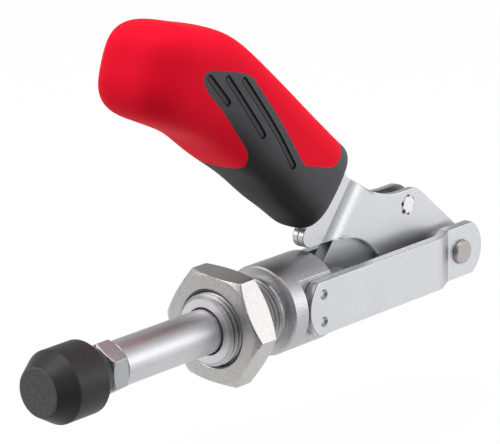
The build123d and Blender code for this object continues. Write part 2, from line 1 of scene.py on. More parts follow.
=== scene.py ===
# %% [markdown]
# # Dressing a push-pull toggle clamp
# The clamp arrives as a finished mechanical model: every piece at its real size, in metres,
# with +X the way the plunger pushes, +Y the clamp's left side and +Z up. This lesson gives the
# pieces what a drawing leaves out: rolled edges on blanked sheet, cut threads, a moulded
# two-part grip, and finishes with grain. Nothing is moved or resized on the way.

# %% Load the clamp
import math

import bmesh
import bpy
from mathutils import Matrix, Vector


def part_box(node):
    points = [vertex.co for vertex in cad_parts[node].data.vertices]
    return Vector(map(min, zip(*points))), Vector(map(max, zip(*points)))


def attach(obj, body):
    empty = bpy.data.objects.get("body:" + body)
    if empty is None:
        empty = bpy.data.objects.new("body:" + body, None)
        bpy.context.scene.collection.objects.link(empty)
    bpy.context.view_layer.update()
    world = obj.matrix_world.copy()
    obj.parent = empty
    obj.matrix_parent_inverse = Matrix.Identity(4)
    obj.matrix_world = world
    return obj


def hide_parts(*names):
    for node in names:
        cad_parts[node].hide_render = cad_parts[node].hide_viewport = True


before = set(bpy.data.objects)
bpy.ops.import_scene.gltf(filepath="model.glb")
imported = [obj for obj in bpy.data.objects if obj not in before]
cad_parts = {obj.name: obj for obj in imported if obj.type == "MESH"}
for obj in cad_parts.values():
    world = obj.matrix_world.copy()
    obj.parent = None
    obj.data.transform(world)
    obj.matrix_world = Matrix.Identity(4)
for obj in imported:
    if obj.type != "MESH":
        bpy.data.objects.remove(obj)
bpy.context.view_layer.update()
MM = 0.001
scene = bpy.context.scene
for node in sorted(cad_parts):
    low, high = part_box(node)
    print(node, "is", " x ".join(f"{(high[i] - low[i]) / MM:.1f}" for i in range(3)), "mm")

# %% [markdown]
# ## The camera
# A product photograph is taken from far away with a long lens, so parallel edges stay nearly
# parallel. The camera is placed by turning round the clamp: azimuth first, then elevation, then
# a slight roll. Working from three angles and a distance is easier to correct than a matrix.

# %% Camera
PHOTO_WIDTH = 500
FOCAL_PIXELS = 3167.5
SENSOR_MM = 36.0
AIM = Vector((3.424, 0.0, 26.087)) * MM
DISTANCE = 855.6 * MM
AZIMUTH, ELEVATION, ROLL = (math.radians(angle) for angle in (131.503, 16.205, -1.176))

back = Vector((
    math.sin(AZIMUTH) * math.cos(ELEVATION),
    -math.cos(AZIMUTH) * math.cos(ELEVATION),
    math.sin(ELEVATION),
))
level_right = Vector((math.cos(AZIMUTH), math.sin(AZIMUTH), 0.0))
level_up = back.cross(level_right)
right = level_right * math.cos(ROLL) + level_up * math.sin(ROLL)
up = back.cross(right)

camera = bpy.data.objects.new("photo_camera", bpy.data.cameras.new("photo_camera"))
scene.collection.objects.link(camera)
camera.data.sensor_width = SENSOR_MM
camera.data.lens = FOCAL_PIXELS / PHOTO_WIDTH * SENSOR_MM
camera.data.clip_start = 0.05
camera.data.clip_end = 20.0
turned = Matrix((right, up, back)).transposed().to_4x4()
camera.matrix_world = Matrix.Translation(AIM + back * DISTANCE) @ turned
scene.camera = camera
print(f"lens {camera.data.lens:.0f} mm, camera {DISTANCE:.2f} m from the clamp")

# %% [markdown]
# ## Shader maths in Python
# A procedural finish is a small formula: a noise, scaled and clipped, mixed into a colour or a
# roughness. Wiring Math nodes by hand hides that formula, so a small class wraps a socket and
# lets Python's own operators add the nodes. Everything else comes from one method that takes the
# node's kind, its settings and its inputs.


# %% Sockets, node trees and finishes
class Wire:
    """An output socket that can be added, multiplied and so on."""

    def __init__(self, graph, socket):
        self.graph = graph
        self.socket = socket

    def maths(self, operation, first, second=0.0, clamp=False):
        settings = {"operation": operation, "use_clamp": clamp}
        return self.graph.node("ShaderNodeMath", settings, {0: first, 1: second})

    def __add__(self, other):
        return self.maths("ADD", self, other)

    def __sub__(self, other):
        return self.maths("SUBTRACT", self, other)

    def __rsub__(self, other):
        return self.maths("SUBTRACT", other, self)

    def __mul__(self, other):
        return self.maths("MULTIPLY", self, other)

    def __pow__(self, other):
        return self.maths("POWER", self, other)

    def __abs__(self):
        return self.maths("ABSOLUTE", self)

    def clipped(self):
        return self.maths("ADD", self, clamp=True)

    def rise(self, start, end):
        """0 at start and 1 at end, straight between them; end may be the smaller one."""
        return ((self - start) * (1.0 / (end - start))).clipped()

    def at_least(self, other):
        return self.maths("MAXIMUM", self, other)

    def vector(self, operation, second, output=0):
        settings = {"operation": operation}
        return self.graph.node("ShaderNodeVectorMath", settings, {0: self, 1: second}, output)

    def dot(self, second):
        return self.vector("DOT_PRODUCT", second, "Value")

    __radd__ = __add__
    __rmul__ = __mul__


class Graph:
    """A node tree, with one method that adds a node."""

    def __init__(self, tree):
        self.tree = tree

    def node(self, kind, settings=None, inputs=None, output=0):
        made = self.tree.nodes.new(kind)
        for key, value in (settings or {}).items():
            setattr(made, key, value)
        for key, value in (inputs or {}).items():
            if isinstance(value, Wire):
                self.tree.links.new(value.socket, made.inputs[key])
            else:
                made.inputs[key].default_value = value
        return Wire(self, made.outputs[output])

    def coordinates(self, kind="Object"):
        return self.node("ShaderNodeTexCoord", output=kind)

    def light_path(self, kind):
        return self.node("ShaderNodeLightPath", output=kind)

    def mix(self, share, first, second):
        """A colour between two others, each a plain colour or a wire."""
        first, second = (c if isinstance(c, Wire) else (*c, 1.0) for c in (first, second))
        inputs = {0: share, 6: first, 7: second}
        return self.node("ShaderNodeMix", {"data_type": "RGBA", "clamp_factor": True}, inputs, output=2)


class Finish(Graph):
    """A material round one Principled shader."""

    def __init__(self, name, **plain):
        self.material = bpy.data.materials.new(name)
        self.material.use_nodes = True
        super().__init__(self.material.node_tree)
        self.shader = self.tree.nodes["Principled BSDF"]
        for socket, value in plain.items():
            self.shader.inputs[socket.replace("_", " ")].default_value = value

    def noise(self, size, detail=2.0):
        """Noise from 0 to 1 with patches about size metres across."""
        inputs = {"Vector": self.coordinates(), "Scale": 1.0 / size, "Detail": detail}
        return self.node("ShaderNodeTexNoise", inputs=inputs, output="Fac")

    def bump(self, height, depth):
        """Grain of that depth in metres."""
        return self.node("ShaderNodeBump", inputs={"Strength": 1.0, "Distance": depth, "Height": height})

    def feed(self, **sockets):
        for name, wire in sockets.items():
            self.tree.links.new(wire.socket, self.shader.inputs[name.replace("_", " ")])
        return self

    def fed(self, name):
        """The wire that feeds a socket so far."""
        return Wire(self, self.shader.inputs[name].links[0].from_socket)

    def tint(self, share, colour):
        """Lays a colour over the finish's own, as far as share says."""
        return self.feed(Base_Color=self.mix(share, self.fed("Base Color"), colour))

    def place(self, axis):
        """How far a point lies along an axis."""
        return self.coordinates().dot(axis)

    def facing(self, axis):
        """How squarely a face looks along an axis, from -1 to 1."""
        return self.coordinates("Normal").dot(axis)


X_AXIS, Y_AXIS = (1.0, 0.0, 0.0), (0.0, 1.0, 0.0)
FLATTEN_Y = (1.0, 0.0, 1.0)
print("shader helpers ready")

# %% [markdown]
# ## Steel finishes
# Sheet, turned body, nuts, pins and plunger are all steel, and each was made and plated in its
# own way. The sheet is zinc plated: pale, slightly blue, with a satin grain. The body is turned
# and then plated, so its grain is coarser. The nuts and pins are plain steel, warmer and darker.
# The plunger is ground. One formula serves them all: two colours mixed by fine specks, a broad,
# faint cloud in the roughness, as handling leaves, and a bump from the same specks, which breaks
# up the reflections as real grain does. Noise stays near its middle value, so its contrast is
# raised before use.

# %% Steels
SPECK_CONTRAST = 2.6
CLOUD_SIZE = 9 * MM


def contrast(wire, gain):
    """Spreads a noise about its middle, and clips it to 0..1."""
    return ((wire - 0.5) * gain + 0.5).clipped()


def steel(name, light, dark, rough, grain, depth):
    """Metal between two colours, with a broad cloud in its roughness and a fine grain."""
    finish = Finish(name, Metallic=1.0)
    cloud = finish.noise(CLOUD_SIZE, 3.0)
    speck = contrast(finish.noise(grain), SPECK_CONTRAST)
    return finish.feed(
        Base_Color=finish.mix(speck * 0.7 + cloud * 0.3, dark, light),
        Roughness=cloud * 0.08 + speck * 0.08 + (rough - 0.08),
        Normal=finish.bump(speck, depth),
    )


SHEET_LIGHT, SHEET_DARK = (0.70, 0.705, 0.735), (0.56, 0.565, 0.59)
ZINC = steel(
    "zinc_sheet", SHEET_LIGHT, SHEET_DARK,
    rough=0.38, grain=0.4 * MM, depth=0.008 * MM,
)
CHEEK = steel(
    "inner_shaded_zinc", SHEET_LIGHT, SHEET_DARK,
    rough=0.38, grain=0.4 * MM, depth=0.008 * MM,
)
LINK = steel(
    "link_zinc", (0.62, 0.625, 0.65), (0.46, 0.465, 0.48),
    rough=0.42, grain=0.4 * MM, depth=0.01 * MM,
)
TURNED = steel(
    "turned_zinc", (0.62, 0.62, 0.635), (0.34, 0.34, 0.345),
    rough=0.40, grain=0.34 * MM, depth=0.02 * MM,
)
PLAIN = steel(
    "plain_steel", (0.66, 0.648, 0.64), (0.38, 0.368, 0.36),
    rough=0.36, grain=0.34 * MM, depth=0.02 * MM,
)
PIN = steel(
    "pin_steel", (0.54, 0.51, 0.50), (0.34, 0.32, 0.315),
    rough=0.38, grain=0.34 * MM, depth=0.015 * MM,
)
GROUND = steel(
    "ground_rod", (0.68, 0.68, 0.70), (0.50, 0.50, 0.515),
    rough=0.44, grain=0.32 * MM, depth=0.012 * MM,
)
DULL = steel(
    "dull_zinc", (0.54, 0.545, 0.565), (0.36, 0.365, 0.38),
    rough=0.50, grain=0.36 * MM, depth=0.014 * MM,
)
STOP = steel(
    "bright_pin", (0.90, 0.90, 0.90), (0.70, 0.70, 0.70),
    rough=0.30, grain=0.3 * MM, depth=0.02 * MM,
)
STEELS = (ZINC, CHEEK, LINK, TURNED, PLAIN, PIN, GROUND, DULL, STOP)
print("steels made:", ", ".join(finish.material.name for finish in STEELS))

# %% [markdown]
# ### Painted shade between the parts
# The linkage's inner parts lie in shade, and that shade is painted as a darker tint: on the inner
# faces of the cheeks and of the plates, on the link's front edge, and on the plunger's rear end in
# its sleeve. An inner face looks at the clamp's middle plane: its normal's Y and its own Y have
# opposite signs, so their product is negative there and nowhere else.

# %% Painted shade on inner faces
INNER_SHADE_FADE = 5.0 * MM
PLATE_SHADE_X = -48.0 * MM
PLUNGER_REAR_X = -20.0 * MM
PLUNGER_FADE = 10 / 3 * MM


def shaded_inside(finish, shade_colour, near, behind=None):
    """Paints shade on the faces that look at the middle plane, only in front of x = behind if it is
    given.
    """
    inward = finish.facing(Y_AXIS) * finish.place(Y_AXIS)
    share = inward.rise(-0.3 * near, -1.3 * near)
    if behind is not None:
        share = share * finish.place(X_AXIS).rise(behind, behind + INNER_SHADE_FADE)
    finish.tint(share * 0.92, shade_colour)


# Painted shade on the inner faces of the plates and the cheeks.
shaded_inside(ZINC, (0.16, 0.16, 0.165), near=3.0 * MM, behind=PLATE_SHADE_X)
shaded_inside(CHEEK, (0.13, 0.13, 0.135), near=1.2 * MM)
# Painted shade on the link's front edge, whose faces look forward along X.
LINK.tint(LINK.facing(X_AXIS).rise(0.35, 0.85) * 0.9, (0.06, 0.06, 0.06))
# Painted shade on the plunger's rear end where it runs inside the sleeve.
in_sleeve = GROUND.place(X_AXIS).rise(PLUNGER_REAR_X, PLUNGER_REAR_X - PLUNGER_FADE)
GROUND.tint(in_sleeve * 0.55, (0.08, 0.08, 0.08))
print("painted_shade_on: plates, cheeks, link and plunger")

# %% [markdown]
# ### Painted shade on the side plates
# Each side plate is stepped inward near its rear end, and the slope in front of the step gets a
# painted brownish shade. The plate's rolled edge, made further down, gets a thin painted line of
# shade. Its normal lies between the plate's face and its rim, so a band of the normal's Y picks it
# out, and no line has to be drawn along the outline.

# %% Side plates' painted shade
STEP_X = -71.9 * MM
STEP_SHADE = 9.0 * MM
STEP_LINE = 0.5 * MM
EDGE_FACING = 0.58

along_plate = ZINC.place(X_AXIS)
on_step = along_plate.rise(STEP_X + STEP_SHADE, STEP_X) * along_plate.rise(STEP_X, STEP_X + STEP_LINE)
# Painted brownish shade over the slope in front of the plates' step.
ZINC.tint(on_step * 0.6, (0.27, 0.25, 0.24))
# Painted shade: a thin dark line along the plates' rolled edges.
off_edge = abs(abs(ZINC.facing(Y_AXIS)) - EDGE_FACING)
ZINC.tint(off_edge.rise(0.26, 0.06) * 0.85, (0.05, 0.05, 0.052))
print(f"plates shaded over {STEP_SHADE / MM:.0f} mm in front of x = {STEP_X / MM:.1f} mm")

# %% [markdown]
# ### Staked pin
# The stop pin is held by a few punch marks around its ends, uneven in size because they are made
# by hand or by a worn punch. They are a fraction of a millimetre wide, so the shade in their dents
# is painted as dark spots on a ring, both on the pin and on the cheek round it.

# %% Punch marks
STAKE_RING = 2.65 * MM
STAKES = (
    (90.0, 0.34 * MM), (15.0, 0.42 * MM), (-38.0, 0.60 * MM),
    (-92.0, 0.42 * MM), (150.0, 0.28 * MM), (-160.0, 0.28 * MM),
)
DENT_SHADE = (0.03, 0.028, 0.027)


def node_centre(node):
    """The middle of a node's box, on the middle plane."""
    low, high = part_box(node)
    return Vector(((low[0] + high[0]) / 2, 0.0, (low[2] + high[2]) / 2))


def staked(finish, centre):
    """Painted shade of punch marks: dark spots on a ring about centre."""
    place = finish.coordinates().vector("MULTIPLY", FLATTEN_Y)
    marks = 0.0
    for angle, size in STAKES:
        turn = math.radians(angle)
        spot = centre + Vector((math.cos(turn), 0.0, math.sin(turn))) * STAKE_RING
        marks = place.vector("DISTANCE", spot, "Value").rise(1.6 * size, 0.6 * size) + marks
    # The marks' darkness is painted shade of the punch dents.
    finish.tint(marks.clipped(), DENT_SHADE)


STOP_PIN = node_centre("stop_pin")
staked(CHEEK, STOP_PIN)
staked(STOP, STOP_PIN)
print(len(STAKES), "punch marks round the stop pin")

# %% [markdown]
# ## Plastics and rubber
# The red grip is moulded in an eroded tool, which leaves an even matt grain. The black cover is
# a softer plastic with a coarser grain, with painted shade that makes its underside darker. The cap
# is rubber: its barrel is smooth from the mould, and its pressing face is painted paler, partly as
# scuffing from the work and partly as painted light on the face. All three are matt, so their
# specular level is low. The red's index of refraction is low as well, which keeps its colour full
# where it is seen at a slant.

# %% Plastics
MOULD_CONTRAST = 2.0
MOULD_CLOUD = 14 * MM


def moulded(name, colour, shade, rough, grain, depth, shine):
    """Matt plastic with an even moulded grain."""
    finish = Finish(name, Specular_IOR_Level=shine)
    grains = contrast(finish.noise(grain), MOULD_CONTRAST)
    cloud = finish.noise(MOULD_CLOUD)
    return finish.feed(
        Base_Color=finish.mix(cloud * 0.4 + grains * 0.6, shade, colour),
        Roughness=grains * 0.12 + (rough - 0.06),
        Normal=finish.bump(grains, depth),
    )


RED = moulded(
    "red_plastic", (0.88, 0.009, 0.031), (0.81, 0.005, 0.025),
    rough=0.60, grain=0.4 * MM, depth=0.012 * MM, shine=0.3,
)
RED.shader.inputs["IOR"].default_value = 1.12
BLACK = moulded(
    "soft_black", (0.125, 0.122, 0.132), (0.050, 0.048, 0.053),
    rough=0.60, grain=0.4 * MM, depth=0.03 * MM, shine=0.15,
)
RUBBER = moulded(
    "cap_rubber", (0.036, 0.034, 0.036), (0.014, 0.013, 0.013),
    rough=0.45, grain=0.45 * MM, depth=0.02 * MM, shine=0.3,
)

CAP_FACE_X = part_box("rubber_cap")[1][0]
SCUFF_AND_LIGHT_DEPTH = 0.3 * MM
SCUFF_AND_LIGHT_GRAIN = 0.6 * MM
# The pressing face is painted paler: partly scuffing, partly painted light on the face.
scuffed_and_lit = RUBBER.place(X_AXIS).rise(CAP_FACE_X - SCUFF_AND_LIGHT_DEPTH, CAP_FACE_X - SCUFF_AND_LIGHT_DEPTH / 2)
RUBBER.tint(scuffed_and_lit * RUBBER.noise(SCUFF_AND_LIGHT_GRAIN), (0.14, 0.135, 0.14))
print("plastics made:", ", ".join(finish.material.name for finish in (RED, BLACK, RUBBER)))

# %% [markdown]
# ### Groove outlines
# The finger grooves in the soft cover are shallow, and shade gathers along their two walls. Both
# walls get a fine painted dark line of shade. A shader can draw it from the distance to the
# groove's centre line: on each straight stretch, the nearest point is found by a dot product.

# %% Dark lines along the groove walls
LEVER_PIN = node_centre("lever_pin")
LEAN = math.radians(39.0)
UNDERSIDE = Vector((math.sin(LEAN), 0.0, -math.cos(LEAN)))
LINE_FROM_MIDDLE = 0.86 * MM
LINE_HALF_WIDTH = 0.17 * MM
GROOVES = (
    ((124.3, -15.1), (134.0, -13.1)),
    ((106.7, -15.6), (128.0, -10.0)),
    ((88.9, -16.0), (122.2, -7.4)),
)


def grip_point(along, across):
    """A point of the grip's own axes, in millimetres from the lever pin, on the middle plane."""
    x = along * math.cos(LEAN) - across * math.sin(LEAN)
    z = along * math.sin(LEAN) + across * math.cos(LEAN)
    return LEVER_PIN + Vector((x, 0.0, z)) * MM


def distance_to(finish, place, start, end):
    """Distance in a shader from place to the line between two points."""
    run = end - start
    offset = place.vector("SUBTRACT", start)
    share = offset.dot(run / run.length_squared).clipped()
    nearest = finish.node("ShaderNodeVectorMath", {"operation": "SCALE"}, {0: run, "Scale": share})
    return offset.vector("DISTANCE", nearest, "Value")


# Painted shade: the cover's faces that look down and back are darkened.
BLACK.tint(BLACK.facing(UNDERSIDE).rise(-0.1154, 0.6538), (0.018, 0.016, 0.016))
flat_place = BLACK.coordinates().vector("MULTIPLY", FLATTEN_Y)
lines = None
for start, end in GROOVES:
    away = distance_to(BLACK, flat_place, grip_point(*start), grip_point(*end))
    line = abs(away - LINE_FROM_MIDDLE).rise(1.3 * LINE_HALF_WIDTH, 0.3 * LINE_HALF_WIDTH)
    lines = line if lines is None else lines.at_least(line)
# Painted shade along both walls of each groove.
BLACK.tint(lines, (0.002, 0.002, 0.002))
BLACK.feed(Roughness=(BLACK.fed("Roughness") + lines * 0.4).clipped())
print(len(GROOVES), "grooves outlined")

# %% [markdown]
# ## Rolled edges
# Blanked and turned steel never has a mathematically sharp edge: the tool rolls it over by a few
# tenths of a millimetre, and that small round is what catches the light. So each steel piece is
# copied, its loose triangles are merged, its flat faces are joined again, and its sharp edges get
# a narrow bevel. A bevel made in the mesh also shows in an exported model, which a shader trick
# would not. The flats then get their normals weighted by area, so that only the bevels look round.

# %% Copies with rolled edges
SHARP_ANGLE = math.radians(35.0)
FLAT_ANGLE = math.radians(0.5)
SAME_POINT = 0.0001 * MM
ROLL_SEGMENTS = 2


def everything(shape):
    """All of a bmesh, for the operators that want their geometry in one list."""
    return [*shape.verts, *shape.edges, *shape.faces]


def merged_copy(node):
    """A bmesh of a node with its points merged and its flat faces whole."""
    shape = bmesh.new()
    shape.from_mesh(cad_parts[node].data)
    bmesh.ops.remove_doubles(shape, verts=shape.verts, dist=SAME_POINT)
    bmesh.ops.dissolve_limit(shape, angle_limit=FLAT_ANGLE, verts=shape.verts, edges=shape.edges)
    return shape


def roll_edges(shape, radius, only=None):
    """Bevels every sharp edge, or those of them that only() picks."""
    sharp = [edge for edge in shape.edges if edge.is_manifold and edge.calc_face_angle() > SHARP_ANGLE]
    if only:
        sharp = [edge for edge in sharp if only(edge)]
    bmesh.ops.bevel(
        shape, geom=sharp, offset=radius, offset_type="OFFSET", segments=ROLL_SEGMENTS,
        profile=0.5, affect="EDGES", clamp_overlap=False, material=-1,
    )
    return len(sharp)


def finish_piece(name, shape, finish, body, replaced):
    """Turns a bmesh into a shaded object that rides on a body and replaces a CAD node."""
    mesh = bpy.data.meshes.new(name)
    shape.to_mesh(mesh)
    shape.free()
    for polygon in mesh.polygons:
        polygon.use_smooth = True
    mesh.set_sharp_from_angle(angle=SHARP_ANGLE)
    mesh.materials.append(finish.material)
    piece = bpy.data.objects.new(name, mesh)
    scene.collection.objects.link(piece)
    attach(piece, body)
    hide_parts(replaced)
    weighted = piece.modifiers.new("even_flats", "WEIGHTED_NORMAL")
    weighted.keep_sharp = True
    print(f"{name}: {len(mesh.polygons)} faces")


def rolled(node, finish, body, radius, only=None, reshape=None):
    """Replaces a CAD node with a copy of itself that has rolled edges."""
    shape = merged_copy(node)
    if reshape:
        reshape(shape)
    count = roll_edges(shape, radius, only=only)
    print(f"{node}: {count} sharp edges rolled by {radius / MM:.2f} mm")
    finish_piece(f"rolled_{node}", shape, finish, body, node)


# %% [markdown]
# ### Rivet rims
# The side plates' rivet holes keep their sharp rims, because the rivets are spread flush in them
# and plated over with the plate, so that only the punch's dimple shows. The bevel would take
# them too, so the edges are picked by their distance from the rivets first.

# %% Rivet rims
RIVET_R = 2.4 * MM
RIM_REACH = 1.05 * RIVET_R
rivet_low, rivet_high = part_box("plate_rivets_left")
RIVET_X = (rivet_low[0] + rivet_high[0]) / 2
RIVET_Z = rivet_high[2] - RIVET_R


def off_rivets(edge):
    """True for an edge that isn't the rim of a rivet's hole."""
    middle = (edge.verts[0].co + edge.verts[1].co) / 2
    gap = min(math.hypot(middle.x - RIVET_X, middle.z - z) for z in (RIVET_Z, -RIVET_Z))
    return gap > RIM_REACH


print(f"rivets at x {RIVET_X / MM:.1f} mm, z {RIVET_Z / MM:.1f} and {-RIVET_Z / MM:.1f} mm")

# %% [markdown]
# ### The cheeks' outward bend
# Each cheek is bent outward where it leaves the grip, to make room for the link. Seen from
# outside, the bend starts at a crease and then flattens slowly, because the sheet springs back
# on the far side of the tool. A subdivision surface would soften every other edge too, so the
# copy is cut into strips there, and only the outer face's points are moved, onto a power curve
# that is steep at the crease. The inner face stays where the link needs it.

# %% The bend's outer face
BEND_START = 50.66 * MM
BEND_LENGTH = 5.6 * MM
BEND_POWER = 2.6
BEND_STRIPS = 10
SHEET = 2.0 * MM
BEND_RISE = 2.05 * MM
OUTER_MARGIN = 0.45 * SHEET
ALONG_LEVER = Vector((math.cos(LEAN), 0.0, math.sin(LEAN)))


def soften_joggle(shape):
    """Gives the outer face of a cheek's bend a long, soft run-out."""
    for strip in range(1, BEND_STRIPS):
        where = LEVER_PIN + ALONG_LEVER * (BEND_START - BEND_LENGTH * strip / BEND_STRIPS)
        bmesh.ops.bisect_plane(shape, geom=everything(shape), plane_co=where, plane_no=ALONG_LEVER)
    moved = 0
    for vertex in shape.verts:
        share = (BEND_START - (vertex.co - LEVER_PIN).dot(ALONG_LEVER)) / BEND_LENGTH
        if not 0.0 < share < 1.0:
            continue
        height = SHEET + BEND_RISE * (1.0 - (1.0 - share) ** BEND_POWER)
        if abs(vertex.co.y) > height - OUTER_MARGIN:
            vertex.co.y = math.copysign(height, vertex.co.y)
            moved += 1
    print(f"bend softened at {moved} points")


# %% [markdown]
# ### The sheet pieces
# A blank's rim is rounded on the side where the punch goes in, by about a tenth of its thickness.
# The plates, the cheeks and the link get a bevel of that order on both sides, because tumbling
# breaks the burr on the other.

# %% Plates, cheeks and link
for hand in ("left", "right"):
    rolled(f"side_plate_{hand}", ZINC, "frame", radius=0.2 * MM, only=off_rivets)
    rolled(f"lever_cheek_{hand}", CHEEK, "lever", radius=0.22 * MM, reshape=soften_joggle)
rolled("link", LINK, "link", radius=0.25 * MM)

# %% [markdown]
# ### Nuts and pins
# Nuts are forged, faced and tapped; their corners are worn soft by tumbling. Pins are cropped
# from bar, and their ends are barely broken. The same helper serves them, with a larger radius
# for a tumbled nut than for a cropped pin.

# %% Nuts and pins
rolled("lock_nut", PLAIN, "lock_nut", radius=0.28 * MM)
rolled("tip_nut", DULL, "plunger", radius=0.2 * MM)
rolled("crank_pin", ZINC, "lever", radius=0.25 * MM)
rolled("lever_pin", PIN, "frame", radius=0.12 * MM)

# %% [markdown]
# ## Cut threads
# The drawing leaves threads as plain cylinders at their outer diameter. The real neck has an
# M20 x 1.5 thread that runs out just before the collar, and the pressure screw has an M8 x 1.25
# thread. The outline of one pitch is swept along a helix: each step of the spin turns
# it a little and moves it on by a share of the pitch, so the end of one turn meets the start of
# the next. The sweep is cut square at both ends, flattened into the chamfer at its free end,
# faded into the shank at the other, and bridged to the piece it belongs to.

# %% Threads
THREAD_STEPS = 64
SEAM = 0.04 * MM
THREAD_MERGE = 0.001 * MM
CUT_MARGIN = 0.002 * MM
DEPTH_PER_PITCH = 0.6134
FACES_END = 0.9
THREAD_OUTLINE = ((0.0, 0.0), (0.25, 0.0), (0.5625, 1.0), (0.6875, 1.0), (1.0, 0.0))


def radius_of(vertex):
    return math.hypot(vertex.co.y, vertex.co.z)


def thread_mesh(stop, free, crest, free_r, pitch, runout):
    """The surface of a thread that runs out at x = stop and has its chamfered end at x = free."""
    way = 1.0 if free > stop else -1.0
    depth = DEPTH_PER_PITCH * pitch
    turns = math.ceil(abs(free - stop) / pitch) + 2
    shape = bmesh.new()
    start = stop - way * pitch
    points = [
        shape.verts.new((start + way * share * pitch, crest - depth * (1.0 - height), 0.0))
        for share, height in THREAD_OUTLINE
    ]
    lines = [shape.edges.new(pair) for pair in zip(points, points[1:])]
    bmesh.ops.spin(
        shape, geom=points + lines, axis=X_AXIS, cent=(0.0, 0.0, 0.0), use_merge=False,
        dvec=(way * pitch / THREAD_STEPS, 0.0, 0.0),
        angle=way * math.tau * turns, steps=THREAD_STEPS * turns,
    )
    bmesh.ops.remove_doubles(shape, verts=shape.verts, dist=THREAD_MERGE)
    cone = crest - free_r
    cuts = (
        (stop + way * SEAM, True), (free - way * SEAM, False),
        (free - way * cone, None), (free - way * cone / 2, None), (stop + way * runout, None),
    )
    for x, keep_beyond in cuts:
        bmesh.ops.bisect_plane(
            shape, geom=everything(shape), plane_co=(x, 0.0, 0.0), plane_no=(way, 0.0, 0.0),
            clear_inner=keep_beyond is True, clear_outer=keep_beyond is False,
        )
    for vertex in shape.verts:
        radius = radius_of(vertex)
        fade = min(1.0, max(0.0, (way * (vertex.co.x - stop) - SEAM) / runout))
        wanted = min(crest - (crest - radius) * fade, free_r + way * (free - vertex.co.x))
        vertex.co.y *= wanted / radius
        vertex.co.z *= wanted / radius
    mesh = bpy.data.meshes.new("thread")
    shape.to_mesh(mesh)
    shape.free()
    return mesh


def cut_thread(shape, stop, free, crest, free_r, pitch, runout):
    """Puts a thread in place of a plain shank on the X axis."""
    low, high = sorted((stop, free))
    bmesh.ops.bisect_plane(shape, geom=everything(shape), plane_co=(stop, 0.0, 0.0), plane_no=X_AXIS)

    def on_shank(vertex):
        between = low - CUT_MARGIN < vertex.co.x < high + CUT_MARGIN
        return between and radius_of(vertex) > free_r - CUT_MARGIN

    shank = [
        face for face in shape.faces
        if abs(face.normal.x) < FACES_END and all(on_shank(vertex) for vertex in face.verts)
    ]
    bmesh.ops.delete(shape, geom=shank, context="FACES")
    shape.from_mesh(thread_mesh(stop, free, crest, free_r, pitch, runout))
    for x in (stop, free):
        open_edges = [edge for edge in shape.edges if edge.is_boundary]
        rims = [edge for edge in open_edges if all(abs(v.co.x - x) < 2 * SEAM for v in edge.verts)]
        bmesh.ops.bridge_loops(shape, edges=rims)
    bmesh.ops.recalc_face_normals(shape, faces=shape.faces)
    loose = sum(1 for edge in shape.edges if not edge.is_manifold)
    print(f"thread from {low / MM:.1f} to {high / MM:.1f} mm, {loose} open edges")


# %% [markdown]
# ### The body's finish and threads
# A thread's roots get a painted shade, so a root comes out darker than a crest. The distance
# from the neck's axis tells them apart. The faces that look forward get a painted light: the
# neck's free end fully, the collar's front about half as much. The two threads are then cut, and
# of the body's edges only those from the collar's front backward are rolled.

# %% Body and pressure screw
ROOT_TOP, ROOT_BOTTOM = 9.75 * MM, 9.15 * MM
THREAD_START, THREAD_END = 2.0 * MM, 21.4 * MM
FREE_END_X = 22.5 * MM
COLLAR_ROLL = 0.15 * MM
COLLAR_EDGES_X = 0.1 * MM

from_axis = TURNED.coordinates().vector("MULTIPLY", (0.0, 1.0, 1.0))
from_axis = from_axis.vector("LENGTH", (0.0, 0.0, 0.0), "Value")
along_axis = TURNED.place(X_AXIS)
past_start = along_axis.rise(THREAD_START, THREAD_START + MM)
before_end = along_axis.rise(THREAD_END, THREAD_END - MM / 4)
# Painted shade in the thread roots.
root_shade = from_axis.rise(ROOT_TOP, ROOT_BOTTOM) * past_start * before_end
TURNED.tint(root_shade * 0.75, (0.05, 0.048, 0.045))
at_free_end = along_axis.rise(FREE_END_X, FREE_END_X + MM / 10)
# Painted light: faces looking forward along X are lightened, fully at the neck's free end and about half
# as much elsewhere.
TURNED.tint(TURNED.facing(X_AXIS).rise(0.9, 1.0) * (at_free_end * 0.55 + 0.45), (0.74, 0.74, 0.76))

body_shape = merged_copy("body")
roll_edges(body_shape, COLLAR_ROLL, only=lambda edge: max(v.co.x for v in edge.verts) < COLLAR_EDGES_X)
cut_thread(
    body_shape, stop=1.5 * MM, free=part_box("body")[1][0],
    crest=10.0 * MM, free_r=8.9 * MM, pitch=1.5 * MM, runout=1.5 * MM,
)
finish_piece("threaded_body", body_shape, TURNED, "frame", "body")

screw_shape = merged_copy("tip_screw")
cut_thread(
    screw_shape, stop=65.2 * MM, free=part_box("tip_screw")[0][0],
    crest=4.0 * MM, free_r=3.5 * MM, pitch=1.25 * MM, runout=1.0 * MM,
)
finish_piece("threaded_tip_screw", screw_shape, GROUND, "tip", "tip_screw")

# %% [markdown]
# ## Pieces that keep the drawing's shape
# The rest already has its real shape, round edges included: the moulded grip, the cap, the rod
# and the small pins, rivets and washers. They only swap their plain material for a finish.

# %% Finishes for the nodes that stay
KEPT = {
    "plate_rivets_left": ZINC, "plate_rivets_right": ZINC, "spacer_left": ZINC, "spacer_right": ZINC,
    "stop_pin": STOP, "plunger": GROUND, "plunger_pin": PLAIN, "rubber_cap": RUBBER,
    "grip_core": RED, "grip_cover": BLACK,
}
for node, finish in KEPT.items():
    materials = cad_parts[node].data.materials
    materials.clear()
    materials.append(finish.material)
print(len(KEPT), "nodes keep their shape")

# %% [markdown]
# ## The studio
# The clamp stands over white paper. A photographer gives polished steel its bands by what it can
# reflect: white card on one side, black on the other. So the paper is white to the camera
# everywhere, but its front part is dark in reflections. For the camera and for reflections most
# of it is an even glow, so that it comes out white without more light on the clamp, and the rest
# is plain shading, which keeps the clamp's soft shadow.

